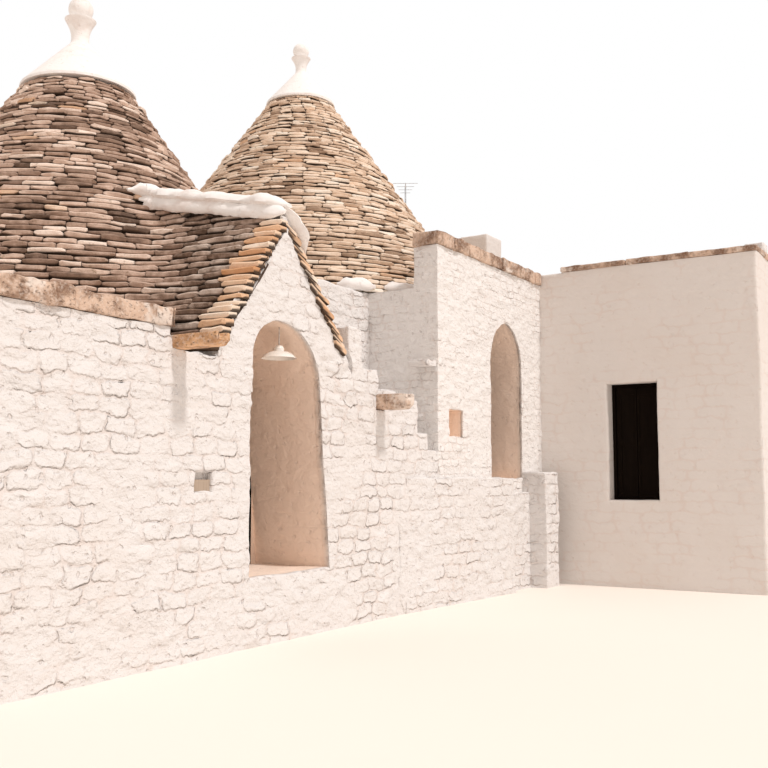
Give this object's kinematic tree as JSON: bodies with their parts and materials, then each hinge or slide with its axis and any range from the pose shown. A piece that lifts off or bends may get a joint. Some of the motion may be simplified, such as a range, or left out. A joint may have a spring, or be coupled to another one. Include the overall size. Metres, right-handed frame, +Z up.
{
  "type": "trullo house",
  "caption": "Whitewashed stone trullo house with dry-stone cones, a steep gable over an arched niche, a stepped wall and a flat-roofed wing.",
  "frame": {"origin": "Middle of the plan at the lowest ground level.", "axes": "+X along the facade to the right, +Y from the facade to the back, +Z up."},
  "size_m": [13.46, 10.73, 8.8016],
  "materials": {
    "limewash": "rough limewash",
    "limestone": "weathered limestone",
    "paving": "worn limestone",
    "roof_stone": "dry-laid limestone slabs",
    "plaster": "lime plaster",
    "dark_wood": "dark painted wood",
    "enamel": "gloss enamel",
    "iron": "dark iron",
    "bulb_glass": "clear",
    "aerial_metal": "dull"
  },
  "bodies": {
    "house": {"left_end_wall": "limewash", "back_wall_left": "limewash", "front_wall_left": "limewash", "arch_jamb_left": "limewash", "arch_jamb_right": "limewash", "gable_wall": "limewash", "stepped_wall": "limewash", "inner_front_wall": "limewash", "party_wall": "limewash", "shoulder_wall": "limewash", "tall_front": "limewash", "doorstep": "limewash", "side_stone": "limewash", "right_wall": "limewash", "back_wall_right": "limewash", "wing_end_wall": "limewash", "wing_wall_near_door": "limewash", "wing_wall_beyond_door": "limewash", "wing_wall_over_door": "limewash", "wing_door_sill": "limewash", "wing_outer_wall": "limewash", "wing_roof": "limewash", "chimney": "limewash", "cornice": "limestone", "tall_coping": "limestone", "spout_left": "limestone", "spout_right": "limestone", "wing_coping": "limestone", "corner_stone": "limestone", "niche_floor": "paving", "floor_left": "paving", "floor_right": "paving", "wing_floor": "paving", "cone_left": "roof_stone", "cone_right": "roof_stone", "gable_roof_left": "roof_stone", "gable_roof_right": "roof_stone", "cap_left": "plaster", "cap_right": "plaster", "pinnacle_ball_left": "plaster", "pinnacle_ball_right": "plaster", "ridge_cap": "plaster", "pointed_door": "dark_wood", "arch_door_frame": "dark_wood", "wing_door_frame": "dark_wood", "pocket_plug": "dark_wood", "lamp_shade": "enamel", "lamp_rod": "iron", "lamp_bulb": "bulb_glass", "aerial": "aerial_metal"},
    "arch_leaf_left": {"arch_door_leaf_left": "dark_wood"},
    "arch_leaf_right": {"arch_door_leaf_right": "dark_wood"},
    "wing_leaf_far": {"wing_door_leaf_far": "dark_wood"},
    "wing_leaf_near": {"wing_door_leaf_near": "dark_wood"}
  },
  "joints": [
    {"name": "arch_left_hinge", "type": "hinge", "parent": "house", "child": "arch_leaf_left", "pos_m": [-3.5975, -1.025, 0.685], "axis": [0, 0, 1], "range_deg": [0, 90]},
    {"name": "arch_right_hinge", "type": "hinge", "parent": "house", "child": "arch_leaf_right", "pos_m": [-2.5725, -1.025, 0.685], "axis": [0, 0, -1], "range_deg": [0, 90]},
    {"name": "wing_far_hinge", "type": "hinge", "parent": "house", "child": "wing_leaf_far", "pos_m": [3.55, -3.2075, 1.305], "axis": [0, 0, 1], "range_deg": [0, 90]},
    {"name": "wing_near_hinge", "type": "hinge", "parent": "house", "child": "wing_leaf_near", "pos_m": [3.55, -3.8025, 1.305], "axis": [0, 0, -1], "range_deg": [0, 90]}
  ]
}
